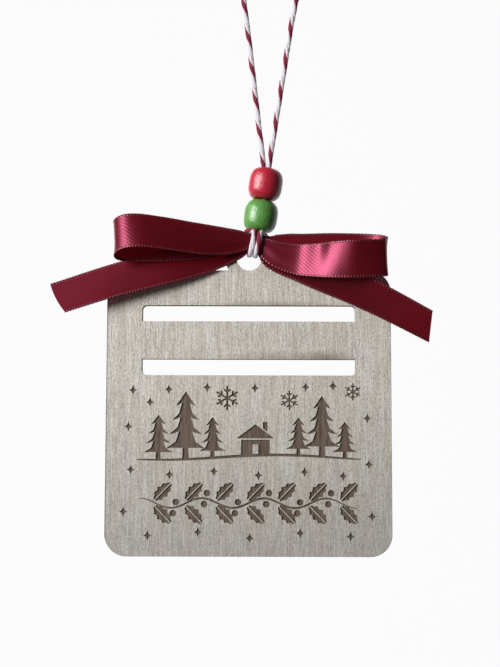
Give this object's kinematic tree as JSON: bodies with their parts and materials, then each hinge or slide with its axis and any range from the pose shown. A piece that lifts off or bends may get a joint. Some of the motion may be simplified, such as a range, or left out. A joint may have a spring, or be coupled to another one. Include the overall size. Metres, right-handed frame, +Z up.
{
  "type": "hanging cash holder ornament",
  "caption": "Flat square wooden tag with slots that hold a folded banknote, hung by a lug on a doubled twisted cord with barrel beads and a satin ribbon bow.",
  "frame": {"origin": "where a hook bears on the cord, inside the top of the loop", "axes": "+Z up along the hang, -Y towards the viewer of the tag's front, +X to that viewer's right"},
  "size_m": [0.1335, 0.0234, 0.2107],
  "materials": {
    "tag_wood": "sanded, laser cut and engraved",
    "satin_ribbon": "woven satin",
    "green_paint": "satin paint",
    "red_paint": "satin paint",
    "twisted_cord": "two-colour twist"
  },
  "bodies": {
    "hanger": {"hanging_loop": "twisted_cord", "loop_knot": "twisted_cord", "hitch_cord": "twisted_cord", "ribbon_bow": "satin_ribbon"},
    "tag": {"tag_plate": "tag_wood"},
    "green_bead": {"green_bead": "green_paint"},
    "red_bead": {"red_bead": "red_paint"}
  },
  "joints": [
    {"name": "tag_swing", "type": "hinge", "parent": "hanger", "child": "tag", "pos_m": [-0.0072, 0, -0.1045], "axis": [0, 1, 0], "range_deg": [-60, 60]},
    {"name": "red_bead_slide", "type": "slide", "parent": "hanger", "child": "red_bead", "axis": [0.1478, 0, 0.989], "range_m": [0, 0.02], "deforming": ["hanging_loop"]},
    {"name": "green_bead_slide", "type": "slide", "parent": "hanger", "child": "green_bead", "axis": [0.1478, 0, 0.989], "range_m": [0, 0.02]}
  ],
  "couplings": [
    {"joint": "green_bead_slide", "follows": "red_bead_slide", "ratio": 1}
  ]
}
